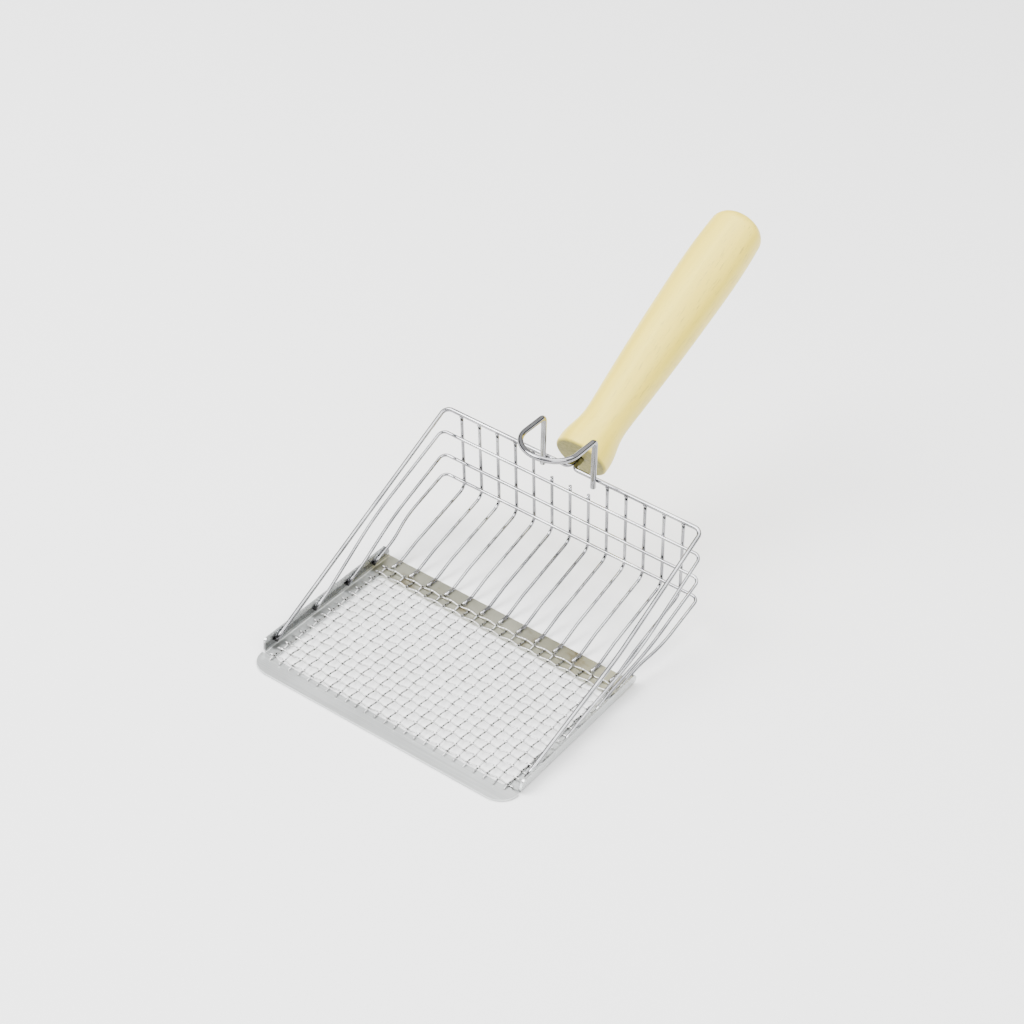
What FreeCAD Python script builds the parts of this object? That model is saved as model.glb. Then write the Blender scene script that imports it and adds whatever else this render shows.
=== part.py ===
import FreeCAD, Part
import math
import os

# Wire sifting scoop with a turned wooden handle.
# Millimetres. +X is the scoop's right, +Y runs back towards the handle, +Z is up.
# The origin is the middle of the flat underside of the base sheet.

# base sheet
base_width = 133.2
base_depth = 100.0
sheet = 1.0
flange_height = 7.2
flange_lean = 5.0
flange_bend = 0.8
flange_rear_round = 4.5
flange_front_round = 1.5
lip_depth = 10.0
lip_corner = 9.6
side_strip = 6.3
rear_strip = 14.0
window_corner = 3.0
relief = 1.0

# woven mesh
mesh_wire = 0.7
mesh_pitch = 5.0
mesh_edge_seat = 0.5
mesh_end = 2.4

# basket wires
rim_wire = 2.0
hoop_wire = 1.5
rib_wire = 1.5
hook_wire = 2.6
basket_width = 133.6
basket_height = 62.7
wall_lean = 13.2
wall_foot_back = 50.76
rim_back = 0.5
rim_corner = 3.5
hoop_corner = 3.2
hoop_spread = 1.3
foot_lift = 1.6
knee_over = 1.0
knee_bend = 60.0
bulge_bend = 200.0
bulge_place = 0.5
weld = 0.05
foot_weld = 0.03
end_sink = 0.03

# heights of the three lower hoops, as shares of the basket height
hoop_shares = (0.785, 0.55, 0.351)
# where the feet of the rim and the hoops stand, as shares of the base depth from its front
foot_shares = (0.17, 0.445, 0.677, 0.872)
# how far the side runs of the rim and the hoops bow outwards
side_bulges = (1.2, 2.8, 1.5, 1.6)
# how far they sag below a straight line
side_sags = (2.2, 0.4, 0.0, 0.0)

# ribs
rib_count = 13
short_ribs = (6, 7, 8)
short_rib_rise = 2.2
rib_inset = 8.9
rib_seat = 7.8
ramp_angle = 23.0
ramp_run = 11.0
floor_angle = 16.5
ramp_start_bend = 4.0
ramp_end_bend = 25.0
rear_bend = 4.5
rib_top_sink = 0.08

# hook
hook_width = 26.2
hook_rise = 24.2
hook_tail = 3.3
hook_lean = 10.5
hook_reach = 27.5
hook_bend = 3.0

# handle and the tang that holds it
handle_length = 140.0
handle_tilt = 28.9
handle_gap = 7.3
face_rise = 1.1
butt_diameter = 25.7
waist_diameter = 20.9
grip_diameter = 27.2
butt_edge = 1.2
crown_rise = 0.9
shoulder_drop = 3.5
tang_depth = 36.0
tang_split = 0.1
tang_bend = 4.2
tang_rise_bend = 4.0
bore_clearance = -0.02
bore_spare = 2.0

V = FreeCAD.Vector
half_depth = base_depth / 2.0
front_y = -half_depth
rear_y = half_depth
lean = math.radians(flange_lean)
flange_out = base_width / 2.0
flange_foot = flange_out - flange_height * math.tan(lean)
window_half = flange_foot - side_strip
window_front = front_y + lip_depth
window_rear = rear_y - rear_strip
flange_start = window_front + relief

wall_tan = math.tan(math.radians(wall_lean))
wall_up = V(0, -math.sin(math.radians(wall_lean)), math.cos(math.radians(wall_lean)))
wall_in = V(0, -wall_up.z, wall_up.y)
rim_z = basket_height


def wall_y(z):
    """Distance back of the rib centre line on the rear wall at height z."""
    return rear_y + wall_foot_back - wall_tan * z


rim_y = wall_y(rim_z) + rim_back


def between(start, end, distance):
    """Point at a distance from start on the way to end."""
    way = V(end.x - start.x, end.y - start.y, end.z - start.z)
    way.normalize()
    return start + way * distance


def rounded_edges(points, radii, room):
    """Edges through the points. Each inner corner is rounded, using up to a share of its runs."""
    edges = []
    last = points[0]
    for before, corner, after, radius in zip(points, points[1:], points[2:], radii):
        angle = (before - corner).getAngle(after - corner)
        shorter = min(before.distanceToPoint(corner), corner.distanceToPoint(after))
        cut = min(radius / math.tan(angle / 2.0), room * shorter)
        enter = between(corner, before, cut)
        leave = between(corner, after, cut)
        bisect = between(corner, before, 1.0) + between(corner, after, 1.0) - corner
        fitted = cut * math.tan(angle / 2.0)
        middle = between(corner, bisect, fitted / math.sin(angle / 2.0) - fitted)
        edges.append(Part.makeLine(last, enter))
        edges.append(Part.Arc(enter, middle, leave).toShape())
        last = leave
    edges.append(Part.makeLine(last, points[-1]))
    return edges


def round_bar(edges, diameter):
    """Solid round bar along a smooth chain of edges."""
    path = Part.Wire(edges)
    first = edges[0]
    heading = first.tangentAt(first.FirstParameter)
    ring = Part.makeCircle(diameter / 2.0, first.valueAt(first.FirstParameter), heading)
    return path.makePipeShell([Part.Wire(ring)], True, False)


def bent_wire(points, radii, diameter):
    return round_bar(rounded_edges(points, radii, 0.499), diameter)


def prism(points, radii, along):
    """Solid from a closed rounded outline, pushed along a vector. Its first corner stays sharp."""
    edges = rounded_edges(list(points) + [points[0]], radii, 0.965)
    return Part.Face(Part.Wire(edges)).extrude(along)


def flat_sheet():
    """Flat part of the base: front lip, side strips, rear strip and the mesh window."""
    tuck = flange_foot - 3.5
    outline = [
        V(0, rear_y, 0),
        V(tuck, rear_y, 0),
        V(tuck, window_front, 0),
        V(flange_foot, window_front, 0),
        V(flange_foot, front_y, 0),
        V(-flange_foot, front_y, 0),
        V(-flange_foot, window_front, 0),
        V(-tuck, window_front, 0),
        V(-tuck, rear_y, 0),
    ]
    radii = [0.01, 0.3, 0.3, lip_corner, lip_corner, 0.3, 0.3, 0.01]
    plate = prism(outline, radii, V(0, 0, sheet))
    window = [
        V(0, window_rear, -1),
        V(window_half, window_rear, -1),
        V(window_half, window_front, -1),
        V(-window_half, window_front, -1),
        V(-window_half, window_rear, -1),
    ]
    return plate.cut(prism(window, [window_corner] * 4, V(0, 0, sheet + 2)))


def side_flange(side):
    """Turned-up edge of the base sheet, leaning a little outwards."""
    out = V(side * math.sin(lean), 0, math.cos(lean))
    across = V(side * math.cos(lean), 0, -math.sin(lean))
    foot = V(side * flange_foot, flange_start, 0)
    top = foot + out * (flange_height / out.z)
    inner_top = top - across * sheet
    inner_foot = inner_top - out * ((inner_top.z - sheet) / out.z)
    inside = side * (flange_foot - 4.5)
    section = [
        V(inside, flange_start, 0),
        foot,
        top,
        inner_top,
        inner_foot,
        V(inside, flange_start, sheet),
    ]
    radii = [flange_bend + sheet, 0.25, 0.25, flange_bend, 0.01]
    strip = prism(section, radii, V(0, rear_y - flange_start, 0))
    side_view = [
        V(side * 50, flange_start, -1),
        V(side * 50, flange_start, flange_height),
        V(side * 50, rear_y, flange_height),
        V(side * 50, rear_y, -1),
    ]
    shape = prism(side_view, [flange_front_round, flange_rear_round, 0.01], V(side * 40, 0, 0))
    return strip.common(shape)


def base_frame():
    frame = flat_sheet()
    for side in (-1, 1):
        frame = frame.fuse(side_flange(side))
    return frame.removeSplitter()


# woven mesh: both sets of wires are crimped round each other
wires_each_side = int((window_half + mesh_edge_seat) / mesh_pitch + 0.001)
row_first = window_rear + mesh_pitch
row_count = int((row_first - window_front) / mesh_pitch + 0.001) + 1
mesh_mid = sheet + mesh_wire - 0.02
crimp = mesh_wire / 2.0 - 0.005
crimp_radius = (crimp * crimp + mesh_pitch * mesh_pitch / 4.0) / (2.0 * crimp)
rows = [row_first - mesh_pitch * j for j in range(row_count)]
columns = [mesh_pitch * i for i in range(-wires_each_side, wires_each_side + 1)]


def crimp_height(offset, sign):
    """Height of a crimped wire over the mesh's middle, at an offset from a crossing."""
    drop = crimp_radius - math.sqrt(crimp_radius * crimp_radius - offset * offset)
    return mesh_mid + sign * (crimp - drop)


def crimped_wire(start, end, first_crossing, first_sign, place):
    """Wavy wire from start to end. It has one arc over or under each crossing."""
    edges = []
    number = int(math.floor((start - first_crossing) / mesh_pitch + 0.5))
    crossing = first_crossing + number * mesh_pitch
    while crossing - mesh_pitch / 2.0 < end - 0.01:
        low = max(start, crossing - mesh_pitch / 2.0)
        high = min(end, crossing + mesh_pitch / 2.0)
        sign = first_sign if number % 2 == 0 else -first_sign
        if high - low > 0.01:
            marks = (low, (low + high) / 2.0, high)
            arc = [place(m, crimp_height(m - crossing, sign)) for m in marks]
            edges.append(Part.Arc(arc[0], arc[1], arc[2]).toShape())
        number += 1
        crossing += mesh_pitch
    return round_bar(edges, mesh_wire)


def long_wires():
    """Mesh wires that run from front to back."""
    start = rows[-1] - mesh_end - 1.0
    end = rows[0] + mesh_wire / 2.0 + 0.25
    solids = []
    for number, x in enumerate(columns):
        sign = 1 if number % 2 == 0 else -1
        solids.append(crimped_wire(start, end, rows[-1], sign, lambda m, z, x=x: V(x, m, z)))
    return Part.makeCompound(solids)


def cross_wires():
    """Mesh wires that run from side to side."""
    reach = columns[-1] + mesh_end
    solids = []
    for number, y in enumerate(reversed(rows)):
        sign = -1 if number % 2 == 0 else 1
        solids.append(crimped_wire(-reach, reach, columns[0], sign, lambda m, z, y=y: V(m, y, z)))
    return Part.makeCompound(solids)


def flange_face(z):
    """Half the clear width between the side flanges at height z."""
    return flange_foot - sheet / math.cos(lean) + z * math.tan(lean)


def side_run(side, number, diameter, corner):
    """Points of one side run: its foot, a knee over the flange and the bow, up to a rear corner."""
    foot_z = sheet + diameter / 2.0 + foot_lift
    knee_z = flange_height + knee_over
    foot_y = front_y + foot_shares[number] * base_depth
    run = V(0, corner.y - foot_y, corner.z - foot_z)

    def at(part, x):
        return V(side * x, corner.y, corner.z) - run * (1.0 - part)

    foot_x = flange_face(foot_z) - diameter / 2.0 + foot_weld
    knee_x = flange_face(knee_z) - diameter / 2.0 + foot_weld
    bow_x = foot_x + bulge_place * (corner.x - foot_x) + side_bulges[number]
    return [
        at(0.0, foot_x),
        at((knee_z - foot_z) / run.z, knee_x),
        at(bulge_place, bow_x) - V(0, 0, side_sags[number]),
        V(side * corner.x, corner.y, corner.z),
    ]


def rear_rest(share):
    """Centre of a lower hoop's rear run, which rests on the inside of the ribs."""
    z = share * basket_height
    touching = (rib_wire + hoop_wire) / 2.0 - weld
    return V(0, wall_y(z), z) + wall_in * touching


def hoop(number):
    """Lower basket hoop: two feet, two side runs and a rear run."""
    rear = rear_rest(hoop_shares[number - 1])
    corner = V(basket_width / 2.0 + hoop_spread, rear.y, rear.z)
    left = side_run(-1, number, hoop_wire, corner)
    right = side_run(1, number, hoop_wire, corner)
    bends = [knee_bend, bulge_bend, hoop_corner]
    return bent_wire(left + right[::-1], bends + bends[::-1], hoop_wire)


# handle axis: the level tang turns up into it behind the rim
tilt = math.radians(handle_tilt)
axis_way = V(0, math.cos(tilt), math.sin(tilt))
face_centre = V(0, rim_y + handle_gap, rim_z + face_rise)
tang_turn = face_centre - axis_way * (face_rise / math.sin(tilt))
tang_x = rim_wire / 2.0 + tang_split / 2.0


def rim(side):
    """Top basket wire of one side. Its rear end turns back and runs into the handle as a tang."""
    corner = V(basket_width / 2.0, rim_y, rim_z)
    points = side_run(side, 0, rim_wire, corner)
    points += [
        V(side * tang_x, rim_y, rim_z),
        V(side * tang_x, tang_turn.y, rim_z),
        V(side * tang_x, face_centre.y, face_centre.z) + axis_way * tang_depth,
    ]
    bends = [knee_bend, bulge_bend, rim_corner, tang_bend, tang_rise_bend]
    return bent_wire(points, bends, rim_wire)


rib_pitch = (basket_width - 2.0 * rib_inset) / (rib_count - 1)


def rib(number):
    """Floor and rear wall rib. It is welded on the rear strip, and the middle ones stop short."""
    x = (number - (rib_count + 1) / 2.0) * rib_pitch
    seat_z = sheet + rib_wire / 2.0 - end_sink
    ramp = math.radians(ramp_angle)
    floor = math.radians(floor_angle)
    ramp_foot = V(x, rear_y - 0.5, seat_z)
    ramp_top = ramp_foot + V(0, ramp_run, ramp_run * math.tan(ramp))
    gap = wall_y(ramp_top.z) - ramp_top.y
    run = gap / (1.0 + wall_tan * math.tan(floor))
    corner = ramp_top + V(0, run, run * math.tan(floor))
    if number in short_ribs:
        top_z = hoop_shares[0] * basket_height + short_rib_rise
    else:
        top_z = rim_z - rim_wire / 2.0 + rib_top_sink
    points = [
        V(x, rear_y - rib_seat, seat_z),
        ramp_foot,
        ramp_top,
        corner,
        V(x, wall_y(top_z), top_z),
    ]
    return bent_wire(points, [ramp_start_bend, ramp_end_bend, rear_bend], rib_wire)


def hook():
    """Hanging hook: two legs on the front of the rim and a level loop over the basket."""
    half = hook_width / 2.0
    lean_tan = math.tan(math.radians(hook_lean))
    touching = (rim_wire + hook_wire) / 2.0 - weld
    leg_y = rim_y - touching / math.cos(math.radians(hook_lean))
    low_z = rim_z - hook_tail
    top_z = rim_z + hook_rise
    top_y = leg_y - hook_rise * lean_tan
    low_y = leg_y + hook_tail * lean_tan
    front = top_y - hook_reach
    points = [
        V(-half, low_y, low_z),
        V(-half, top_y, top_z),
        V(-half, front, top_z),
        V(half, front, top_z),
        V(half, top_y, top_z),
        V(half, low_y, low_z),
    ]
    loop_radius = half - 0.05
    return bent_wire(points, [hook_bend, loop_radius, loop_radius, hook_bend], hook_wire)


def handle():
    """Turned handle with a flared butt, a waist, a full grip and a rounded end."""
    butt = butt_diameter / 2.0
    waist = waist_diameter / 2.0
    grip = grip_diameter / 2.0
    length = handle_length
    stations = [
        (butt_edge, butt - 0.05),
        (0.035 * length, butt - 0.02),
        (0.075 * length, waist + 0.62 * (butt - waist)),
        (0.125 * length, waist + 0.04 * (butt - waist)),
        (0.185 * length, waist),
        (0.300 * length, waist + 0.28 * (grip - waist)),
        (0.480 * length, waist + 0.66 * (grip - waist)),
        (0.660 * length, waist + 0.91 * (grip - waist)),
        (0.780 * length, grip),
        (0.900 * length, grip - 0.13 * (grip - waist)),
        (0.955 * length, grip - 0.28 * (grip - waist)),
    ]
    side = Part.BSplineCurve()
    side.interpolate([V(r, 0, s) for s, r in stations])
    first = V(stations[0][1], 0, stations[0][0])
    last = V(stations[-1][1], 0, stations[-1][0])
    face_edge = V(butt - butt_edge, 0, 0)
    edge_middle = V(butt - 0.35 * butt_edge, 0, 0.33 * butt_edge)
    shoulder = V(0.62 * grip, 0, length - crown_rise)
    shoulder_middle = V(0.845 * grip, 0, length - shoulder_drop)
    crown_radius = (shoulder.x * shoulder.x + crown_rise * crown_rise) / (2.0 * crown_rise)
    half = shoulder.x / 2.0
    crown_dip = crown_radius - math.sqrt(crown_radius * crown_radius - half * half)
    edges = [
        Part.makeLine(V(0, 0, 0), face_edge),
        Part.Arc(face_edge, edge_middle, first).toShape(),
        side.toShape(),
        Part.Arc(last, shoulder_middle, shoulder).toShape(),
        Part.Arc(shoulder, V(half, 0, length - crown_dip), V(0, 0, length)).toShape(),
        Part.makeLine(V(0, 0, length), V(0, 0, 0)),
    ]
    body = Part.Face(Part.Wire(edges)).revolve(V(0, 0, 0), V(0, 0, 1), 360)
    bore_radius = tang_x + rim_wire / 2.0 + bore_clearance
    bore = Part.makeCylinder(bore_radius, tang_depth + bore_spare + 1, V(0, 0, -1), V(0, 0, 1))
    body = body.cut(bore)
    turn = FreeCAD.Rotation(V(0, 0, 1), axis_way)
    body.Placement = FreeCAD.Placement(face_centre, turn)
    return body


def build():
    nodes = {
        "base_frame": base_frame(),
        "mesh_long_wires": long_wires(),
        "mesh_cross_wires": cross_wires(),
        "rim_left": rim(-1),
        "rim_right": rim(1),
        "hoop_upper": hoop(1),
        "hoop_middle": hoop(2),
        "hoop_lower": hoop(3),
        "hook": hook(),
        "handle": handle(),
    }
    for number in range(1, rib_count + 1):
        nodes["rib_%02d" % number] = rib(number)
    return nodes


os.makedirs("parts", exist_ok=True)
for name, shape in build().items():
    shape.exportStep("parts/" + name + ".step")
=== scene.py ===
import math
import bpy
import numpy as np
from mathutils import Matrix, Vector


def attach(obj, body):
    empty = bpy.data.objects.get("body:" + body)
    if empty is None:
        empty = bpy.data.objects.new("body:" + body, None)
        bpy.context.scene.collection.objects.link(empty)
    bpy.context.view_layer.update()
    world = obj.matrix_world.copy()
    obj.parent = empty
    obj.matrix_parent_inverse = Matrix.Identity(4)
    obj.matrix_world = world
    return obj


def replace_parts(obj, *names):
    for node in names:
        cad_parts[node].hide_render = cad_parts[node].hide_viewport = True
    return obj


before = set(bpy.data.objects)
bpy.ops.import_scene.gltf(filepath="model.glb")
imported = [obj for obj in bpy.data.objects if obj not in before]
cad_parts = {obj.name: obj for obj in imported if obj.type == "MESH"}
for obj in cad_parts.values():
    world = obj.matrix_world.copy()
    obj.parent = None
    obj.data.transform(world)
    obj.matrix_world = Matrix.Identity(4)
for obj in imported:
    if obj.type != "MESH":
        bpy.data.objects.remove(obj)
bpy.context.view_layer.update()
print("frame loaded:", len(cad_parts), "nodes")

mm = 0.001                                         # shapes are given in millimetres and made in metres

# the base sheet and the rear wall that the wires hang on
basket = {
    "frontY": -50.0, "depth": 100.0, "sheet": 1.0,
    "wallFoot": 100.76, "wallLean": 13.2,          # rib line on the rear wall at z = 0, degrees forward
    "height": 62.7, "hoopShares": (0.785, 0.55, 0.351),
}
wallSlope = math.radians(basket["wallLean"])
wallTan = math.tan(wallSlope)


def wallY(z):
    # rear wall at a height: its foot less the height times the tangent of the lean
    return basket["wallFoot"] - wallTan * z


class Socket:
    # one output socket of a material's nodes, whose arithmetic adds Math nodes

    def __init__(self, tree, out):
        self.tree, self.out = tree, out

    def node(self, kind, settings, inputs, output=0):
        # new node of a kind: settings first, then the values or links of its sockets, by number or name
        made = self.tree.nodes.new(kind)
        for name, value in settings.items():
            if name == "stops":
                ramp = made.color_ramp
                while len(ramp.elements) < len(value):
                    ramp.elements.new(0.5)
                for stop, (place, color) in zip(ramp.elements, value):
                    stop.position, stop.color = place, color
            else:
                setattr(made, name, value)
        pairs = inputs.items() if isinstance(inputs, dict) else enumerate(inputs)
        for key, value in pairs:
            if isinstance(value, Socket):
                self.tree.links.new(value.out, made.inputs[key])
            else:
                made.inputs[key].default_value = value
        return Socket(self.tree, made.outputs[output])

    def math(self, operation, first, second):
        # first and second joined by one operation
        return self.node("ShaderNodeMath", {"operation": operation}, (first, second))

    def __add__(self, other):
        return self.math("ADD", self, other)

    def __radd__(self, other):
        return self.math("ADD", self, other)

    def __sub__(self, other):
        return self.math("SUBTRACT", self, other)

    def __rsub__(self, other):
        return self.math("SUBTRACT", other, self)

    def __mul__(self, other):
        return self.math("MULTIPLY", self, other)

    def __rmul__(self, other):
        return self.math("MULTIPLY", self, other)

    def soft(self, low, high, first=0.0, last=1.0):
        # smooth step from first to last while the value goes from low to high
        return self.node("ShaderNodeMapRange", {"interpolation_type": "SMOOTHSTEP"},
                         (self, low, high, first, last))

    def blend(self, a, b):
        # colour a where the value is 0, colour b where it is 1
        return self.node("ShaderNodeMix", {"data_type": "RGBA"}, {0: self, 6: a, 7: b}, 2)


def finish(name, color, metallic, roughness, coat=0.0):
    # new material with its constant values on the shader; returns material, shader and object coordinates
    made = bpy.data.materials.new(name)
    made.use_nodes = True
    tree = made.node_tree
    shader = tree.nodes["Principled BSDF"]
    shader.inputs["Base Color"].default_value = (*color, 1)
    shader.inputs["Metallic"].default_value = metallic
    shader.inputs["Roughness"].default_value = roughness
    shader.inputs["Coat Weight"].default_value = coat
    place = tree.nodes.new("ShaderNodeTexCoord").outputs["Object"]
    return made, shader, Socket(tree, place)


def plug(value, shader, name):
    # the value feeds the shader's socket of that name
    value.tree.links.new(value.out, shader.inputs[name])


def axes(place):
    # x, y and z of a place, each as a value of its own
    split = place.tree.nodes.new("ShaderNodeSeparateXYZ")
    place.tree.links.new(place.out, split.inputs[0])
    return [Socket(place.tree, out) for out in split.outputs]


def stretch(place, scale):
    # the place times a scale for each axis, so that a pattern runs long where its scale is small
    return place.node("ShaderNodeMapping", {}, {"Vector": place, "Scale": scale, "Rotation": (0, 0, 0)})


def noise(place, scale, detail=3.0, rough=0.55):
    # cloudy value between 0 and 1, with about scale lumps to the metre
    return place.node("ShaderNodeTexNoise", {},
                      {"Vector": place, "Scale": scale, "Detail": detail, "Roughness": rough})


def bump(height, strength, distance):
    # surface normal tilted by the slope of a height, which is at most distance metres
    return height.node("ShaderNodeBump", {}, {"Height": height, "Strength": strength, "Distance": distance})


def attribute(place, name):
    # value stored at each point of the mesh
    return place.node("ShaderNodeAttribute", {"attribute_name": name}, {}, 2)


platedLook = {
    "dull": (0.24, 0.24, 0.25, 1), "pale": (0.40, 0.40, 0.41, 1), "dark": (0.025, 0.023, 0.02, 1),
    "haze": 260.0, "cloud": 45.0, "speckle": 900.0, "scuff": 1700.0,
    "roughness": 0.05, "bump": 0.25, "bumpDepth": 0.00004,
}


def platedWire():
    # bright plating: the colour goes from dull to pale with the clouds, and to dark where the smudge mark
    # (weld smudges at the joints, painted shade under each rib's seat) times a speckle is high; roughness is
    # a base plus shares of haze and that mark
    look = platedLook
    made, shader, place = finish("platedWire", (0.30, 0.30, 0.31), 1.0, 0.1)
    haze = noise(place, look["haze"], 4.0)
    cloud = noise(place, look["cloud"], 2.0)
    smudge = attribute(place, "smudge")
    mask = (smudge * (0.55 + 0.9 * noise(place, look["speckle"], 2.0))).soft(0.25, 0.85)
    clean = cloud.soft(0.35, 0.65).blend(look["dull"], look["pale"])
    plug(mask.blend(clean, look["dark"]), shader, "Base Color")
    plug(look["roughness"] + 0.08 * haze + 0.3 * mask, shader, "Roughness")
    height = haze + 1.5 * mask * noise(place, look["scuff"])
    plug(bump(height, look["bump"], look["bumpDepth"]), shader, "Normal")
    return made


wovenLook = {
    "dull": (0.50, 0.50, 0.49, 1), "pale": (0.68, 0.68, 0.68, 1), "dark": (0.03, 0.028, 0.025, 1),
    "fleck": 1200.0, "cloud": 60.0, "roughness": 0.22, "bump": 0.3, "bumpDepth": 0.00003,
}


def wovenWire():
    # whiter and duller than the basket wire: dull to pale with the clouds, dark where the crossings' painted
    # shade times fleck is high
    look = wovenLook
    made, shader, place = finish("meshWire", (0.86, 0.86, 0.86), 1.0, 0.3)
    crossingShade = attribute(place, "smudge")
    fleck = noise(place, look["fleck"], 3.0)
    # painted shade at the mesh crossings darkens the tone towards near black
    mask = (crossingShade * (0.5 + 1.1 * fleck)).soft(0.25, 0.75)
    tone = noise(place, look["cloud"], 2.0).soft(0.3, 0.7).blend(look["dull"], look["pale"])
    plug(mask.blend(tone, look["dark"]), shader, "Base Color")
    plug(look["roughness"] + 0.2 * fleck, shader, "Roughness")
    plug(bump(fleck, look["bump"], look["bumpDepth"]), shader, "Normal")
    return made


# fades are given in metres along one axis
sheetLook = {
    "plainDull": (0.46, 0.475, 0.47, 1), "plainPale": (0.60, 0.615, 0.61, 1),
    "reflectionDull": (0.33, 0.325, 0.255, 1), "reflectionPale": (0.44, 0.435, 0.35, 1),
    "rust": (0.20, 0.17, 0.11, 1), "dark": (0.03, 0.03, 0.03, 1), "paintedShadeShare": 0.65,
    "lines": (30.0, 1500.0, 1500.0), "cloud": 34.0, "rustPatch": 90.0, "shadeEdgeWander": 160.0, "wander": 0.0022,
    "rearFade": (0.0335, 0.0375), "uprightFade": (0.0012, 0.0022),
    "paintedShadeX": (-0.0648, -0.0652), "paintedShadeLow": (0.0030, 0.0034), "paintedShadeHigh": (0.0066, 0.0058),
    "bump": 0.22, "bumpDepth": 0.00003,
}


def sheetFinish():
    # satin steel: rolling lines from side to side plus clouds set the tone; the rear strip has a painted
    # khaki reflection and rust patches; inside the left flange a band between two wandering edges is darkened
    # by a share, as painted shade
    look = sheetLook
    made, shader, place = finish("satinSheet", (0.72, 0.73, 0.71), 1.0, 0.34)
    x, y, z = axes(place)
    lines = noise(stretch(place, look["lines"]), 1.0, 3.0)
    cloud = noise(place, look["cloud"], 3.0)
    rear = y.soft(*look["rearFade"])
    upright = z.soft(*look["uprightFade"])
    # painted reflection: a khaki tone on the rear strip's flat part, mixed in by y
    paintedReflection = cloud.soft(0.3, 0.7).blend(look["reflectionDull"], look["reflectionPale"])
    plain = (0.6 * lines + 0.4 * cloud).soft(0.3, 0.7).blend(look["plainDull"], look["plainPale"])
    rust = (noise(place, look["rustPatch"], 4.0) * rear).soft(0.52, 0.72)
    # painted shade: a dark band on the left flange's inner face, between two wandering heights
    edge = z + look["wander"] * noise(place, look["shadeEdgeWander"], 3.0)
    inner = x.soft(*look["paintedShadeX"]) * edge.soft(*look["paintedShadeLow"]) * edge.soft(*look["paintedShadeHigh"])
    front = (look["paintedShadeShare"] * inner).blend(plain, look["dark"])
    base = (rear * (1.0 - upright)).blend(front, rust.blend(paintedReflection, look["rust"]))
    plug(base, shader, "Base Color")
    plug(0.24 + 0.16 * lines + 0.08 * cloud - 0.10 * upright, shader, "Roughness")
    plug(bump(lines, look["bump"], look["bumpDepth"]), shader, "Normal")
    return made


woodLook = {
    "dull": (0.78, 0.61, 0.05, 1), "pale": (0.90, 0.715, 0.088, 1),
    "scratch": (0.38, 0.27, 0.06, 1), "scratchShare": 0.7,
    "cutDull": (0.19, 0.165, 0.022, 1), "cutPale": (0.27, 0.235, 0.045, 1), "cutGrain": 700.0,
    "grain": (230.0, 9.0, 230.0), "bands": (60.0, 4.0, 60.0), "pores": (1500.0, 130.0, 1500.0),
    "scratchAlong": (0.10, 0.165, 0.12, 0.9), "scratchAcross": (-0.004, 0.006, 0.25, 1.0),
    "coat": 0.25, "coatRoughness": 0.22, "bump": 0.30, "bumpDepth": 0.00008,
}


def woodFinish(axisTilt):
    # pale hardwood under a thin clear coat, on coordinates turned to the handle's axis: bands plus grain
    # set the tone, and pores show as scratches that grow towards the far end and the right; the cut end is
    # darker
    look = woodLook
    made, shader, place = finish("paleWood", (0.86, 0.78, 0.55), 0.0, 0.42, look["coat"])
    shader.inputs["Coat Roughness"].default_value = look["coatRoughness"]
    along = place.node("ShaderNodeMapping", {"vector_type": "TEXTURE"},
                       {"Vector": place, "Rotation": (axisTilt, 0, 0)})
    x, y = axes(along)[:2]
    grain = noise(stretch(along, look["grain"]), 1.0, 4.0, 0.5)
    bands = noise(stretch(along, look["bands"]), 1.0, 2.0)
    pores = noise(stretch(along, look["pores"]), 1.0, 3.0, 0.65)
    endGrain = attribute(place, "endGrain")
    tone = (0.55 * bands + 0.45 * grain).soft(0.34, 0.66).blend(look["dull"], look["pale"])
    fleck = pores.soft(0.57, 0.70)
    scratched = fleck * y.soft(*look["scratchAlong"]) * x.soft(*look["scratchAcross"])
    coat = (look["scratchShare"] * scratched).blend(tone, look["scratch"])
    cut = noise(place, look["cutGrain"], 3.0).soft(0.3, 0.7).blend(look["cutDull"], look["cutPale"])
    plug(endGrain.blend(coat, cut), shader, "Base Color")
    plug(0.36 + 0.14 * grain + 0.25 * endGrain, shader, "Roughness")
    plug(bump(grain - 0.8 * fleck, look["bump"], look["bumpDepth"]), shader, "Normal")
    return made


def floorFinish():
    # near white, with a very faint wide cloud
    made, shader, place = finish("paleFloor", (0.93, 0.93, 0.925), 0.0, 0.75)
    tone = noise(place, 1.5, 1.0).soft(0.2, 0.8).blend((0.925, 0.925, 0.92, 1), (0.94, 0.94, 0.94, 1))
    plug(tone, shader, "Base Color")
    return made


handleShape = {
    "faceY": 93.86, "faceZ": 63.80, "tilt": 28.9, "length": 140.0,
    "buttDiameter": 25.7, "waistDiameter": 20.9, "gripDiameter": 27.2,
    "stations": (0.035, 0.075, 0.125, 0.185, 0.3, 0.48, 0.66, 0.78, 0.9, 0.955),   # shares of the length
    "buttTuck": (0.05, 0.02), "flare": (0.62, 0.04, 0.0),      # flare: share of the way from waist to butt
    "swell": (0.28, 0.66, 0.91, 1.0, 0.87, 0.72),              # share of the way from waist to grip
    "buttEdge": 1.2, "crownRise": 0.9, "crownShare": 0.62, "crownTip": 0.25,
    "shoulderDrop": 3.5, "shoulderShare": 0.845,
    "bore": 4.1, "boreRings": (38.0, 20.0, 1.0, 0.15), "boreRim": 0.12, "around": 128,
}

plated = platedWire()
woven = wovenWire()
satin = sheetFinish()
wood = woodFinish(math.radians(handleShape["tilt"]))
print("finishes made")


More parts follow.
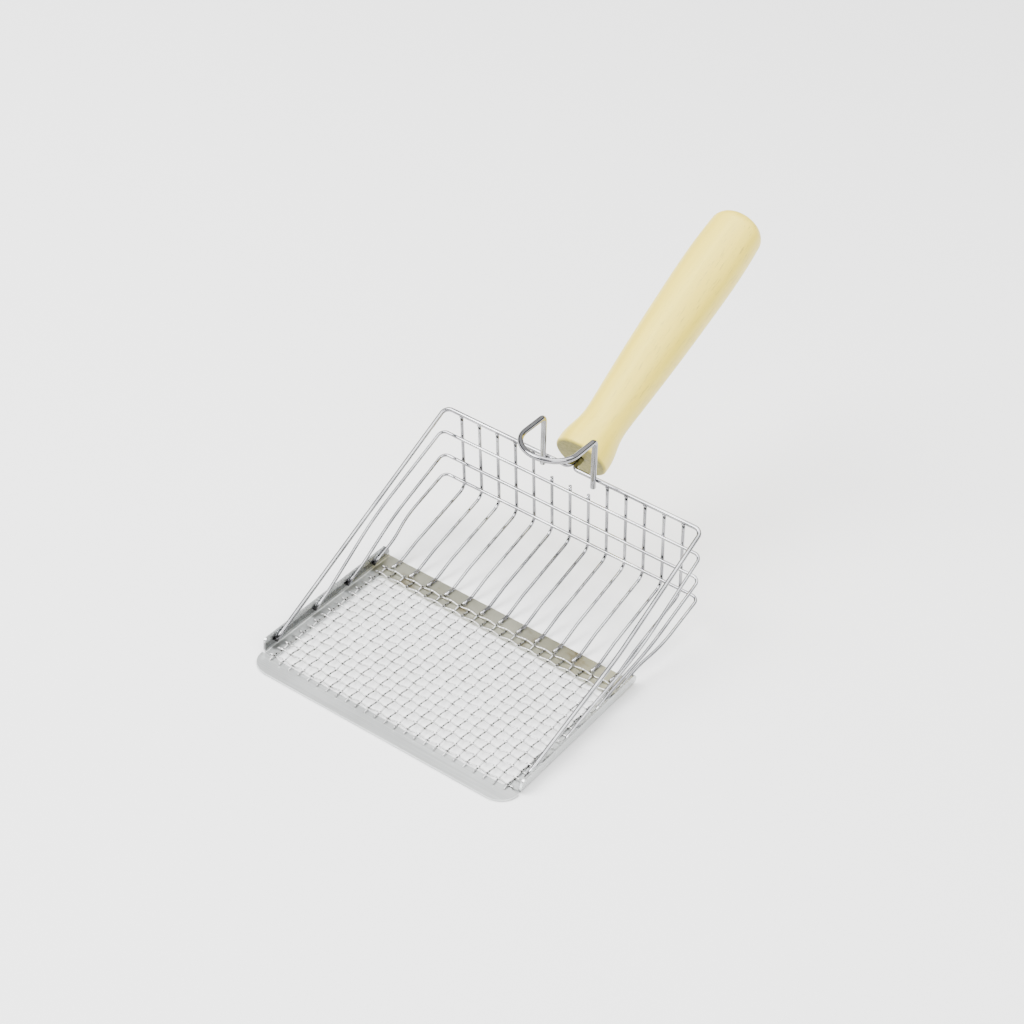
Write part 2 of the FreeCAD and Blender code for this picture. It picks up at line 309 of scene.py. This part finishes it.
def newPiece(name, points, faces, material, slotName, **marks):
    # object at the origin from an array of points and a list of faces, smooth all over, with a value per mark
    mesh = bpy.data.meshes.new(name)
    mesh.from_pydata(points.tolist(), [], faces)
    mesh.polygons.foreach_set("use_smooth", np.ones(len(mesh.polygons), dtype=bool))
    for key, values in marks.items():
        layer = mesh.attributes.new(key, "FLOAT", "POINT")
        layer.data.foreach_set("value", np.asarray(values, dtype=np.float32).ravel())
    mesh.materials.append(material)
    piece = bpy.data.objects.new(name, mesh)
    bpy.context.scene.collection.objects.link(piece)
    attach(piece, "root")
    return piece


def gridFaces(rows, around):
    # quads of a closed tube: corner number is row times the ring's count plus the place on the ring
    i = np.arange(rows - 1)[:, None] * around
    j = np.arange(around)[None, :]
    k = (j + 1) % around
    quads = np.stack([i + j, i + k, i + around + k, i + around + j], axis=-1)
    return quads.reshape(-1, 4).tolist()


def closedFaces(rows, around):
    # the tube's quads with its first and last rings filled
    ring = list(range(around))
    return gridFaces(rows, around) + [ring[::-1], [(rows - 1) * around + k for k in ring]]


def bentPath(points, bends, step=4.0, turnStep=0.12, room=0.499):
    # straight runs joined by arcs: a corner is cut back by its bend divided by the tangent of half its inner
    # angle, and by no more than a share of the shorter run; the arc's centre lies on the corner's bisector
    points = [np.array(p, float) for p in points]
    path = []
    last = points[0]
    for before, corner, after, bend in zip(points, points[1:], points[2:], bends):
        back, ahead = before - corner, after - corner
        longBack, longAhead = np.linalg.norm(back), np.linalg.norm(ahead)
        back, ahead = back / longBack, ahead / longAhead
        inner = math.acos(max(-1.0, min(1.0, float(back @ ahead))))
        cut = min(bend / math.tan(inner / 2), room * min(longBack, longAhead))
        radius = cut * math.tan(inner / 2)
        enter, leave = corner + back * cut, corner + ahead * cut
        middle = corner + (back + ahead) / np.linalg.norm(back + ahead) * radius / math.sin(inner / 2)
        count = max(2, int(np.linalg.norm(enter - last) / step))
        path.append(last + (enter - last) * np.linspace(0, 1, count, endpoint=False)[:, None])
        turn = math.pi - inner
        angle = np.linspace(0, turn, max(4, int(turn / turnStep)), endpoint=False)[:, None]
        path.append(middle + (enter - middle) * np.cos(angle) - back * radius * np.sin(angle))
        last = leave
    count = max(3, int(np.linalg.norm(points[-1] - last) / step))
    path.append(last + (points[-1] - last) * np.linspace(0, 1, count)[:, None])
    return np.vstack(path)


def tube(path, diameter, side, around, hollow):
    # a ring carried along the path: radius times cosine and sine of the angle, on two directions square to
    # the way ahead, the first of them square to side too. Each end closes over a shallow cone set into the
    # wire, whose rings shrink as they go in, to about a share of the radius
    radius = diameter / 2
    share = np.sin(np.linspace(0.12, 1.0, 5) * math.pi / 2)
    first = path[0] - path[1]
    first = first / np.linalg.norm(first)
    final = path[-1] - path[-2]
    final = final / np.linalg.norm(final)
    depth = [max(part, 0.02) * radius for part in hollow]
    start = path[0] - first * (depth[0] * (1 - share))[:, None]
    end = path[-1] - final * (depth[1] * (1 - share))[::-1, None]
    centres = np.vstack([start, path[1:-1], end])
    heading = np.vstack([np.tile(-first, (5, 1)), np.gradient(path, axis=0)[1:-1], np.tile(final, (5, 1))])
    heading = heading / np.linalg.norm(heading, axis=1)[:, None]
    reach = radius * np.concatenate([share, np.ones(len(path) - 2), share[::-1]])
    across = np.cross(heading, np.array(side, float))
    across = across / np.linalg.norm(across, axis=1)[:, None]
    up = np.cross(across, heading)
    angle = np.arange(around) * 2 * math.pi / around
    ring = across[:, None, :] * np.cos(angle)[None, :, None] - up[:, None, :] * np.sin(angle)[None, :, None]
    points = centres[:, None, :] + ring * reach[:, None, None]
    return points.reshape(-1, 3), closedFaces(len(centres), around)


def smudgeAt(points, spots, reach):
    # one less the distance to the nearest spot over the reach: 1 at the spot, 0 past its reach
    spots = np.array(spots, float)
    gap = np.linalg.norm(points[:, None, :] - spots[None, :, :], axis=2).min(axis=1)
    return np.clip(1 - gap / reach, 0, 1)


rimShape = {
    "wire": 2.0, "width": 133.6, "back": 0.5, "corner": 3.5,
    "footShare": 0.17, "bulge": 1.2, "sag": 2.2,
    "tangSplit": 0.1, "tangBend": 4.2, "riseBend": 4.0, "tangDepth": 36.0,
    "around": 20, "ends": (0.35, 0.1), "jointSmudge": 3.2, "endSmudge": 3.6,
}
hoopShape = {
    "wire": 1.5, "spread": 1.3, "corner": 3.2, "weld": 0.05,
    "footShares": (0.445, 0.677, 0.872), "bulges": (2.8, 1.5, 1.6), "sags": (0.4, 0.0, 0.0),
    "around": 16, "ends": (0.4, 0.4), "jointSmudge": 1.9, "endSmudge": 3.0,
}
sideShape = {
    "footLift": 1.6, "kneeOver": 1.0, "kneeBend": 60.0, "bowBend": 200.0, "bowPlace": 0.5,
    "flangeHeight": 7.2, "flangeLean": 5.0, "flangeOut": 66.6, "footWeld": 0.03,
}
ribShape = {
    "wire": 1.5, "count": 13, "short": (6, 7, 8), "shortRise": 2.2, "inset": 8.9,
    "seat": 7.8, "rampBack": 0.5, "rampAngle": 23.0, "rampRun": 11.0, "floorAngle": 16.5,
    "rampStart": 4.0, "rampEnd": 25.0, "rearBend": 4.5, "topSink": 0.08, "endSink": 0.03,
    "around": 16, "seatEnd": 0.3, "topEnd": 0.2, "shortEnd": 0.9, "smudge": 2.4, "seatShade": (5.0, 0.9),
}
hookShape = {
    "wire": 2.6, "width": 26.2, "rise": 24.2, "tail": 3.3, "lean": 10.5, "reach": 27.5, "bend": 3.0,
    "weld": 0.05, "around": 24, "ends": (0.3, 0.3), "smudge": 2.6,
}

lean = math.radians(sideShape["flangeLean"])
flangeFoot = sideShape["flangeOut"] - sideShape["flangeHeight"] * math.tan(lean)
rimZ = basket["height"]
rimY = wallY(rimZ) + rimShape["back"]
rimRadius = rimShape["wire"] / 2
tilt = math.radians(handleShape["tilt"])
axisWay = np.array([0, math.cos(tilt), math.sin(tilt)])
faceCentre = np.array([0, handleShape["faceY"], handleShape["faceZ"]])

# where wires meet: ribs on hoops, and the long ribs under the rim
ribPitch = (rimShape["width"] - 2 * ribShape["inset"]) / (ribShape["count"] - 1)
ribX = {n: (n - (ribShape["count"] + 1) / 2) * ribPitch for n in range(1, ribShape["count"] + 1)}
hoopZ = [share * rimZ for share in basket["hoopShares"]]
inward = np.array([0, -math.cos(wallSlope), -math.sin(wallSlope)])
crossings = [np.array([x, wallY(z), z]) + inward * ribShape["wire"] / 2 for x in ribX.values() for z in hoopZ]
longRibs = [n for n in ribX if n not in ribShape["short"]]
rimJoints = [np.array([ribX[n], wallY(rimZ), rimZ - rimRadius]) for n in longRibs]


def flangeFace(z):
    # inner face of an upright flange: foot plus height times the tangent of its lean, less the slanted sheet
    return flangeFoot - basket["sheet"] / math.cos(lean) + z * math.tan(lean)


def footPlace(share, diameter):
    # y and z of a wire's foot: a share of the base's depth, and lying a little over the sheet
    return basket["frontY"] + share * basket["depth"], basket["sheet"] + diameter / 2 + sideShape["footLift"]


def sideRun(side, share, bulge, sag, diameter, corner):
    # four points: foot on the flange, knee over it, bow half way up, rear corner. In y and z each is its
    # share of the straight line from foot to corner, less the sag at the bow; in x the first two touch the
    # flange and the bow is half way to the corner plus the bulge
    footY, footZ = footPlace(share, diameter)
    kneeZ = sideShape["flangeHeight"] + sideShape["kneeOver"]
    run = np.array([0, corner[1] - footY, corner[2] - footZ])
    footX = flangeFace(footZ) - diameter / 2 + sideShape["footWeld"]
    kneeX = flangeFace(kneeZ) - diameter / 2 + sideShape["footWeld"]
    bowX = footX + sideShape["bowPlace"] * (corner[0] - footX) + bulge

    def at(part, x):
        # the corner less what is left of the run, at its own x
        return np.array([side * x, corner[1], corner[2]]) - run * (1 - part)

    return [
        at(0, footX), at((kneeZ - footZ) / run[2], kneeX),
        at(sideShape["bowPlace"], bowX) - np.array([0, 0, sag]),
        np.array([side * corner[0], corner[1], corner[2]]),
    ]


def squareTo(start, end):
    # direction square to x and to the slope between two points: minus its sine and its cosine
    slope = math.atan2(end[2] - start[2], end[1] - start[1])
    return 0, -math.sin(slope), math.cos(slope)


def makeRim(side, name):
    # side run to the corner, level along the rear to the middle, then back and up the handle's axis as a tang
    corner = (rimShape["width"] / 2, rimY, rimZ)
    points = sideRun(side, rimShape["footShare"], rimShape["bulge"], rimShape["sag"],
                     rimShape["wire"], corner)
    tangX = side * (rimRadius + rimShape["tangSplit"] / 2)
    turnY = handleShape["faceY"] - (handleShape["faceZ"] - rimZ) / math.tan(tilt)
    points += [
        np.array([tangX, rimY, rimZ]), np.array([tangX, turnY, rimZ]),
        faceCentre + np.array([tangX, 0, 0]) + axisWay * rimShape["tangDepth"],
    ]
    bends = [sideShape["kneeBend"], sideShape["bowBend"], rimShape["corner"],
             rimShape["tangBend"], rimShape["riseBend"]]
    shape, faces = tube(bentPath(points, bends), rimShape["wire"], squareTo(points[0], corner),
                        rimShape["around"], rimShape["ends"])
    hookSpot = np.array([side * hookShape["width"] / 2, rimY - rimRadius, rimZ])
    dark = np.maximum(smudgeAt(shape, rimJoints, rimShape["jointSmudge"]),
                      smudgeAt(shape, [points[0], hookSpot], rimShape["endSmudge"]))
    return newPiece(name, shape * mm, faces, plated, "plated_wire", smudge=dark)


def makeHoop(number, name):
    # left side run, level along the inside of the ribs, and the right side run back, as one wire
    z = hoopZ[number]
    touching = (ribShape["wire"] + hoopShape["wire"]) / 2 - hoopShape["weld"]
    rear = np.array([0, wallY(z), z]) + inward * touching
    corner = (rimShape["width"] / 2 + hoopShape["spread"], rear[1], rear[2])
    left, right = [sideRun(side, hoopShape["footShares"][number], hoopShape["bulges"][number],
                           hoopShape["sags"][number], hoopShape["wire"], corner) for side in (-1, 1)]
    bends = [sideShape["kneeBend"], sideShape["bowBend"], hoopShape["corner"]]
    path = bentPath(left + right[::-1], bends + bends[::-1])
    shape, faces = tube(path, hoopShape["wire"], squareTo(left[0], rear),
                        hoopShape["around"], hoopShape["ends"])
    dark = np.maximum(smudgeAt(shape, crossings, hoopShape["jointSmudge"]),
                      smudgeAt(shape, [left[0], right[0]], hoopShape["endSmudge"]))
    return newPiece(name, shape * mm, faces, plated, "plated_wire", smudge=dark)


def makeRib(number, name):
    # flat seat on the rear strip, a ramp and a sloping floor, each rising by its run times the tangent of
    # its angle, up to where the floor meets the wall's line, then up the wall to the rim or just past the
    # top hoop
    x = ribX[number]
    rearY = basket["frontY"] + basket["depth"]
    seatZ = basket["sheet"] + ribShape["wire"] / 2 - ribShape["endSink"]
    rampFoot = np.array([x, rearY - ribShape["rampBack"], seatZ])
    rampTop = rampFoot + np.array([0, 1, math.tan(math.radians(ribShape["rampAngle"]))]) * ribShape["rampRun"]
    floorTan = math.tan(math.radians(ribShape["floorAngle"]))
    run = (wallY(rampTop[2]) - rampTop[1]) / (1 + wallTan * floorTan)
    low = rampTop + np.array([0, run, run * floorTan])
    short = number in ribShape["short"]
    topZ = hoopZ[0] + ribShape["shortRise"] if short else rimZ - rimRadius + ribShape["topSink"]
    points = [np.array([x, rearY - ribShape["seat"], seatZ]), rampFoot, rampTop, low,
              np.array([x, wallY(topZ), topZ])]
    path = bentPath(points, [ribShape["rampStart"], ribShape["rampEnd"], ribShape["rearBend"]])
    topEnd = ribShape["shortEnd"] if short else ribShape["topEnd"]
    shape, faces = tube(path, ribShape["wire"], (1, 0, 0), ribShape["around"], (ribShape["seatEnd"], topEnd))
    # painted shade: a dark spot on the rib's underside where it lies on the rear strip
    seatBack, seatHeight = ribShape["seatShade"]
    spots = [spot for spot in crossings + rimJoints if spot[0] == x]
    spots.append(np.array([x, rearY - seatBack, seatHeight]))
    dark = smudgeAt(shape, spots, ribShape["smudge"])
    return newPiece(name, shape * mm, faces, plated, "plated_wire", smudge=dark)


for side, name in ((-1, "left"), (1, "right")):
    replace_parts(makeRim(side, "rimWire" + name.capitalize()), "rim_" + name)
for number, name in enumerate(("upper", "middle", "lower")):
    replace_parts(makeHoop(number, "hoop" + name.capitalize()), "hoop_" + name)
for number in ribX:
    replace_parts(makeRib(number, "rib%02d" % number), "rib_%02d" % number)
print("rim, hoops and ribs made")


def makeHook(name):
    # two legs on the rim's inside, leaning forward by height times the tangent of the lean, joined at the
    # top by a level loop whose front is a half circle
    half = hookShape["width"] / 2
    leanAngle = math.radians(hookShape["lean"])
    touching = (rimShape["wire"] + hookShape["wire"]) / 2 - hookShape["weld"]
    legY = rimY - touching / math.cos(leanAngle)
    topY = legY - hookShape["rise"] * math.tan(leanAngle)
    lowY = legY + hookShape["tail"] * math.tan(leanAngle)
    topZ, lowZ = rimZ + hookShape["rise"], rimZ - hookShape["tail"]
    front = topY - hookShape["reach"]
    points = [(-half, lowY, lowZ), (-half, topY, topZ), (-half, front, topZ),
              (half, front, topZ), (half, topY, topZ), (half, lowY, lowZ)]
    loop = half - 0.05                             # just under half the width, so the arcs stay apart
    path = bentPath(points, [hookShape["bend"], loop, loop, hookShape["bend"]], turnStep=0.09)
    oblique = (0.577, 0.577, 0.577)                # never in line with any of the hook's runs
    shape, faces = tube(path, hookShape["wire"], oblique, hookShape["around"], hookShape["ends"])
    dark = smudgeAt(shape, [(side * half, rimY - rimRadius, rimZ) for side in (-1, 1)], hookShape["smudge"])
    return newPiece(name, shape * mm, faces, plated, "plated_wire", smudge=dark)


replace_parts(makeHook("hangingHook"), "hook")
print("hook made")

meshShape = {
    "wire": 0.7, "pitch": 5.0, "columns": 25, "rows": 17, "firstRow": 41.0,
    "height": 1.68, "crimp": 0.345, "crest": 0.8, "sideReach": 2.4, "frontReach": 3.4, "rearReach": 0.6,
    "around": 8, "perPitch": 10, "ends": (0.3, 0.3),
    "besideShade": 0.95, "besidePlace": 0.8, "besideWidth": 0.5, "underShade": 0.8, "underWidth": 0.9,
    "crossShare": 0.62,
}


def makeMesh(name, alongY):
    # height of a wire: the middle height plus the crimp times the cosine of its way between crossings,
    # raised to a power that flattens the crests; each next wire has it upside down. Painted shade is a bell
    # curve beside each crossing, and another under it
    s = meshShape
    pitch = s["pitch"]
    columnX = (np.arange(s["columns"]) - (s["columns"] - 1) / 2) * pitch
    rowY = s["firstRow"] - np.arange(s["rows"])[::-1] * pitch
    if alongY:
        low, high = rowY[0] - s["frontReach"], rowY[-1] + s["rearReach"]
        places, origin, sign = columnX, rowY[0], 1
    else:
        low, high = columnX[0] - s["sideReach"], columnX[-1] + s["sideReach"]
        places, origin, sign = rowY, columnX[0], -1
    count = int((high - low) / pitch * s["perPitch"])
    along = np.linspace(low, high, count)
    wave = np.cos((along - origin) / pitch * math.pi)
    wave = np.sign(wave) * np.abs(wave) ** s["crest"]
    share = 1.0 if alongY else s["crossShare"]
    points, faces, dark = [], [], []
    for number, place in enumerate(places):
        way = sign * (-1 if number % 2 else 1)
        z = s["height"] + s["crimp"] * way * wave
        fixed = np.full(count, place)
        path = np.stack([fixed, along, z] if alongY else [along, fixed, z], 1)
        ring, quads = tube(path, s["wire"], (1, 0, 0) if alongY else (0, 1, 0), s["around"], s["ends"])
        base = len(points) * len(ring)
        points.append(ring)
        faces += [[index + base for index in face] for face in quads]
        position = ring[:, 1] if alongY else ring[:, 0]
        fromCrossing = np.abs((position - origin + pitch / 2) % pitch - pitch / 2)
        # painted shade: darker beside each crossing and where the wire dips under the crossing wire
        below = np.clip((s["height"] - ring[:, 2]) / s["crimp"], 0, 1)
        beside = np.exp(-((fromCrossing - s["besidePlace"]) / s["besideWidth"]) ** 2)
        under = below * np.exp(-(fromCrossing / s["underWidth"]) ** 2)
        dark.append(share * np.maximum(s["besideShade"] * beside, s["underShade"] * under))
    return newPiece(name, np.vstack(points) * mm, faces, woven, "mesh_wire", smudge=np.concatenate(dark))


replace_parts(makeMesh("meshLengthwise", True), "mesh_long_wires")
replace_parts(makeMesh("meshCrosswise", False), "mesh_cross_wires")
print("woven mesh made")

# half sizes of a lump: two across the joint, and the third from wire to wire
weldShape = {
    "rows": 7, "around": 10, "pole": 0.999, "smudge": 0.35,
    "crossing": (0.85, 0.75, 0.42), "rim": (0.95, 0.95, 0.5),
    "foot": (0.8, 1.7, 0.35), "seat": (0.95, 1.15, 0.2),
    "rimWay": (0, 0.2, 1), "footIn": 0.12, "footBack": 1.6, "footUp": 0.8, "faceUp": 0.6,
    "seatY": (48.2, 44.4), "seatZ": 1.12,
}


def makeWelds(name, spots, sizes, ways):
    # small flattened lumps: a sphere's grid, the root of one less height squared, times the three half sizes,
    # turned so that its third axis is the way from one wire to the other; both poles are closed
    rows, around = weldShape["rows"], weldShape["around"]
    lift = np.linspace(-weldShape["pole"], weldShape["pole"], rows)
    polar = np.sqrt(1 - lift ** 2)
    angle = np.arange(around) * 2 * math.pi / around
    unit = np.stack([polar[:, None] * np.cos(angle), polar[:, None] * np.sin(angle),
                     np.repeat(lift[:, None], around, 1)], -1).reshape(-1, 3)
    quads = closedFaces(rows, around)
    points, faces = [], []
    for number, (spot, size, way) in enumerate(zip(spots, sizes, ways)):
        way = np.array(way, float) / np.linalg.norm(way)
        other = np.cross(way, (1, 0, 0)) if abs(way[0]) < 0.9 else np.cross(way, (0, 1, 0))
        other = other / np.linalg.norm(other)
        turn = np.stack([np.cross(other, way), other, way], 0)
        points.append(np.array(spot) + (unit * np.array(size)) @ turn)
        faces += [[index + number * len(unit) for index in face] for face in quads]
    shape = np.vstack(points)
    dark = np.full(len(shape), weldShape["smudge"])
    return newPiece(name, shape * mm, faces, plated, "plated_wire", smudge=dark)


def footSpot(side, share, wire):
    # just inside the flange, a little behind and over the wire's foot
    y, z = footPlace(share, wire)
    x = side * (flangeFace(z + weldShape["faceUp"]) - weldShape["footIn"])
    return x, y + weldShape["footBack"], z + weldShape["footUp"]


feet = [(rimShape["footShare"], rimShape["wire"])]
feet += [(share, hoopShape["wire"]) for share in hoopShape["footShares"]]
footSpots = [footSpot(side, share, wire) for share, wire in feet for side in (-1, 1)]
spots = crossings + rimJoints + footSpots
sizes = ([weldShape["crossing"]] * len(crossings) + [weldShape["rim"]] * len(rimJoints)
         + [weldShape["foot"]] * len(footSpots))
ways = ([tuple(inward)] * len(crossings) + [weldShape["rimWay"]] * len(rimJoints)
        + [(side, 0, 0) for _ in feet for side in (-1, 1)])
makeWelds("wireWelds", spots, sizes, ways)
seatSpots = [(x, y, weldShape["seatZ"]) for y in weldShape["seatY"] for x in ribX.values()]
makeWelds("ribSeatWelds", seatSpots, [weldShape["seat"]] * len(seatSpots), [(0, 0, 1)] * len(seatSpots))
print("welds made")


def naturalCurve(knots, values, at):
    # cubic pieces through the knots with equal slopes and bends where they meet, and no bend at the two ends
    count = len(knots)
    gaps = np.diff(knots)
    matrix = np.eye(count)
    wanted = np.zeros(count)
    i = np.arange(1, count - 1)
    matrix[i, i - 1] = gaps[i - 1]
    matrix[i, i] = 2 * (gaps[i - 1] + gaps[i])
    matrix[i, i + 1] = gaps[i]
    wanted[i] = 6 * ((values[i + 1] - values[i]) / gaps[i] - (values[i] - values[i - 1]) / gaps[i - 1])
    second = np.linalg.solve(matrix, wanted)
    k = np.clip(np.searchsorted(knots, at) - 1, 0, count - 2)
    a, b, h = knots[k + 1] - at, at - knots[k], gaps[k]
    return ((second[k] * a ** 3 + second[k + 1] * b ** 3) / (6 * h)
            + (values[k] / h - second[k] * h / 6) * a + (values[k + 1] / h - second[k + 1] * h / 6) * b)


def arcThrough(a, b, c, count):
    # circle through three points: its centre is as far from all of them; the start point is left out
    a, b, c = np.array(a), np.array(b), np.array(c)
    rows = 2 * np.array([b - a, c - a])
    centre = np.linalg.solve(rows, np.array([b @ b - a @ a, c @ c - a @ a]))
    first, middle, final = [math.atan2(*(p - centre)[::-1]) for p in (a, b, c)]
    if not min(first, final) <= middle <= max(first, final):
        final += 2 * math.pi if final < first else -2 * math.pi
    radius = np.linalg.norm(a - centre)
    angle = np.linspace(first, final, count)[1:]
    return centre[0] + radius * np.cos(angle), centre[1] + radius * np.sin(angle)


def handleOutline():
    # distance along the axis and radius, from the bottom of the bore out over the cut end, a quarter round
    # edge, the turned side as a smooth curve between waist, butt and grip, an arc for the shoulder, and a
    # crown that falls with the radius squared; the third row is how much of each ring is cut end
    s = handleShape
    butt, waist, grip, bore = [s[size] / 2 for size in ("buttDiameter", "waistDiameter",
                                                        "gripDiameter", "bore")]
    length = s["length"]
    knots = np.array([s["buttEdge"]] + [length * share for share in s["stations"]])
    widths = np.concatenate([butt - np.array(s["buttTuck"]), waist + np.array(s["flare"]) * (butt - waist),
                             waist + np.array(s["swell"]) * (grip - waist)])
    flareEnd = 30                                  # the butt's end has closer rings than the rest
    along = np.concatenate([np.linspace(knots[0], flareEnd, 30), np.linspace(flareEnd, knots[-1], 50)[1:]])
    side = naturalCurve(knots, widths, along)
    quarter = np.linspace(0, math.pi / 2, 7)[:-1]
    edgeS = s["buttEdge"] * (1 - np.cos(quarter))
    edgeR = widths[0] - s["buttEdge"] * (1 - np.sin(quarter))
    crown = s["crownShare"] * grip
    endS, endR = arcThrough((knots[-1], widths[-1]), (length - s["shoulderDrop"], s["shoulderShare"] * grip),
                            (length - s["crownRise"], crown), 13)
    capR = np.linspace(crown, s["crownTip"], 8)[1:]
    capS = length - s["crownRise"] * (capR / crown) ** 2
    holeS = np.array(s["boreRings"])
    faceR = np.linspace(bore + s["boreRim"], edgeR[0], 9)[:-1]
    profileS = np.concatenate([holeS, np.zeros(len(faceR)), edgeS, along, endS, capS])
    profileR = np.concatenate([np.full(len(holeS), bore), faceR, edgeR, side, endR, capR])
    cutEnd = np.concatenate([np.ones(len(holeS) + len(faceR)), np.linspace(1, 0.2, len(edgeS)),
                             np.zeros(len(along) + len(endS) + len(capS))])
    return profileS, profileR, cutEnd


def makeHandle(name):
    # the outline turned round the tilted axis: radius times cosine sideways and times sine square to the axis
    profileS, profileR, cutEnd = handleOutline()
    around, rows = handleShape["around"], len(profileS)
    angle = np.arange(around) * 2 * math.pi / around
    up = np.array([0, -math.sin(tilt), math.cos(tilt)])
    ring = np.cos(angle)[:, None] * np.array([1, 0, 0]) + np.sin(angle)[:, None] * up
    points = faceCentre + axisWay * profileS[:, None, None] + ring[None] * profileR[:, None, None]
    faces = [face[::-1] for face in closedFaces(rows, around)]     # turned about, so that they face outwards
    marks = np.repeat(cutEnd[:, None], around, 1)
    return newPiece(name, points.reshape(-1, 3) * mm, faces, wood, "turned_wood", endGrain=marks)


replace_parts(makeHandle("turnedHandle"), "handle")
print("handle made")

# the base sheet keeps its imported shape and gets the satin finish
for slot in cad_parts["base_frame"].material_slots:
    slot.material = satin

# metres, watts and degrees from here on, and millimetres for the lens
studio = {
    "floorSize": 16.0, "floorDrop": 0.0002, "floorCells": 8,
    "cameraPlace": (0.3917, -0.6645, 0.6640), "aim": (0.0291, -0.0123, 0.1090), "roll": 8.1,
    "lens": 83.87, "sensor": 36.0, "clip": (0.01, 50.0),
    "lampAim": (0, 0.05, 0.05),
    "lamps": {
        "keyLight": {"place": (-0.9, -0.9, 1.5), "size": (1.2, 1.2), "power": 80.0},
        "fillLight": {"place": (1.2, -0.5, 1.2), "size": (1.4, 1.0), "power": 22.0},
        "topLight": {"place": (0.0, 0.4, 1.8), "size": (1.6, 1.6), "power": 48.0},
    },
    "roomStops": [                                 # a dark band low round the room draws the wires' edges
        (0.0, (0.03, 0.03, 0.03, 1)), (0.03, (0.02, 0.02, 0.02, 1)), (0.30, (0.04, 0.04, 0.042, 1)),
        (0.44, (1.1, 1.1, 1.1, 1)), (1.0, (1.3, 1.3, 1.3, 1)),
    ],
}


def makeFloor(name):
    # square grid in x and y, a hair under the object
    half, side = studio["floorSize"] / 2, studio["floorCells"] + 1
    u = np.linspace(-half, half, side)
    drop = np.full((side, side), -studio["floorDrop"])
    grid = np.stack(np.meshgrid(u, u, indexing="ij") + [drop], -1)
    index = np.arange(side * side).reshape(side, side)
    faces = np.stack([index[:-1, :-1], index[1:, :-1], index[1:, 1:], index[:-1, 1:]], -1).reshape(-1, 4)
    mesh = bpy.data.meshes.new(name)
    mesh.from_pydata(grid.reshape(-1, 3).tolist(), [], faces.tolist())
    mesh.materials.append(floorFinish())
    made = bpy.data.objects.new(name, mesh)
    bpy.context.scene.collection.objects.link(made)


def makeLamp(name, place, size, power):
    # soft rectangular light that looks from its place to the object
    light = bpy.data.lights.new(name, "AREA")
    light.shape, light.size, light.size_y = "RECTANGLE", size[0], size[1]
    light.energy = power
    made = bpy.data.objects.new(name, light)
    made.location = place
    made.rotation_euler = (Vector(studio["lampAim"]) - Vector(place)).to_track_quat("-Z", "Y").to_euler()
    bpy.context.scene.collection.objects.link(made)


def makeRoom():
    # light from all round whose brightness goes with the height of the direction
    world = bpy.data.worlds.new("softRoom")
    bpy.context.scene.world = world
    world.use_nodes = True
    tree = world.node_tree
    height = axes(Socket(tree, tree.nodes.new("ShaderNodeTexCoord").outputs["Generated"]))[2]
    tone = height.node("ShaderNodeValToRGB", {"stops": studio["roomStops"]}, {0: height})
    tree.links.new(tone.out, tree.nodes["Background"].inputs["Color"])
    tree.nodes["Background"].inputs["Strength"].default_value = 1.0


def makeCamera(name):
    # place, then the turn that looks at the aim, then a roll about the line of sight
    lens = bpy.data.cameras.new(name)
    lens.lens, lens.sensor_width = studio["lens"], studio["sensor"]
    lens.clip_start, lens.clip_end = studio["clip"]
    camera = bpy.data.objects.new(name, lens)
    sight = Vector(studio["aim"]) - Vector(studio["cameraPlace"])
    camera.matrix_world = (Matrix.Translation(studio["cameraPlace"])
                           @ sight.to_track_quat("-Z", "Y").to_matrix().to_4x4()
                           @ Matrix.Rotation(math.radians(studio["roll"]), 4, "Z"))
    bpy.context.scene.collection.objects.link(camera)
    bpy.context.scene.camera = camera


makeFloor("paleFloor")
makeRoom()
for name, lamp in studio["lamps"].items():
    makeLamp(name, lamp["place"], lamp["size"], lamp["power"])
makeCamera("viewCamera")
print("floor, light and camera set")
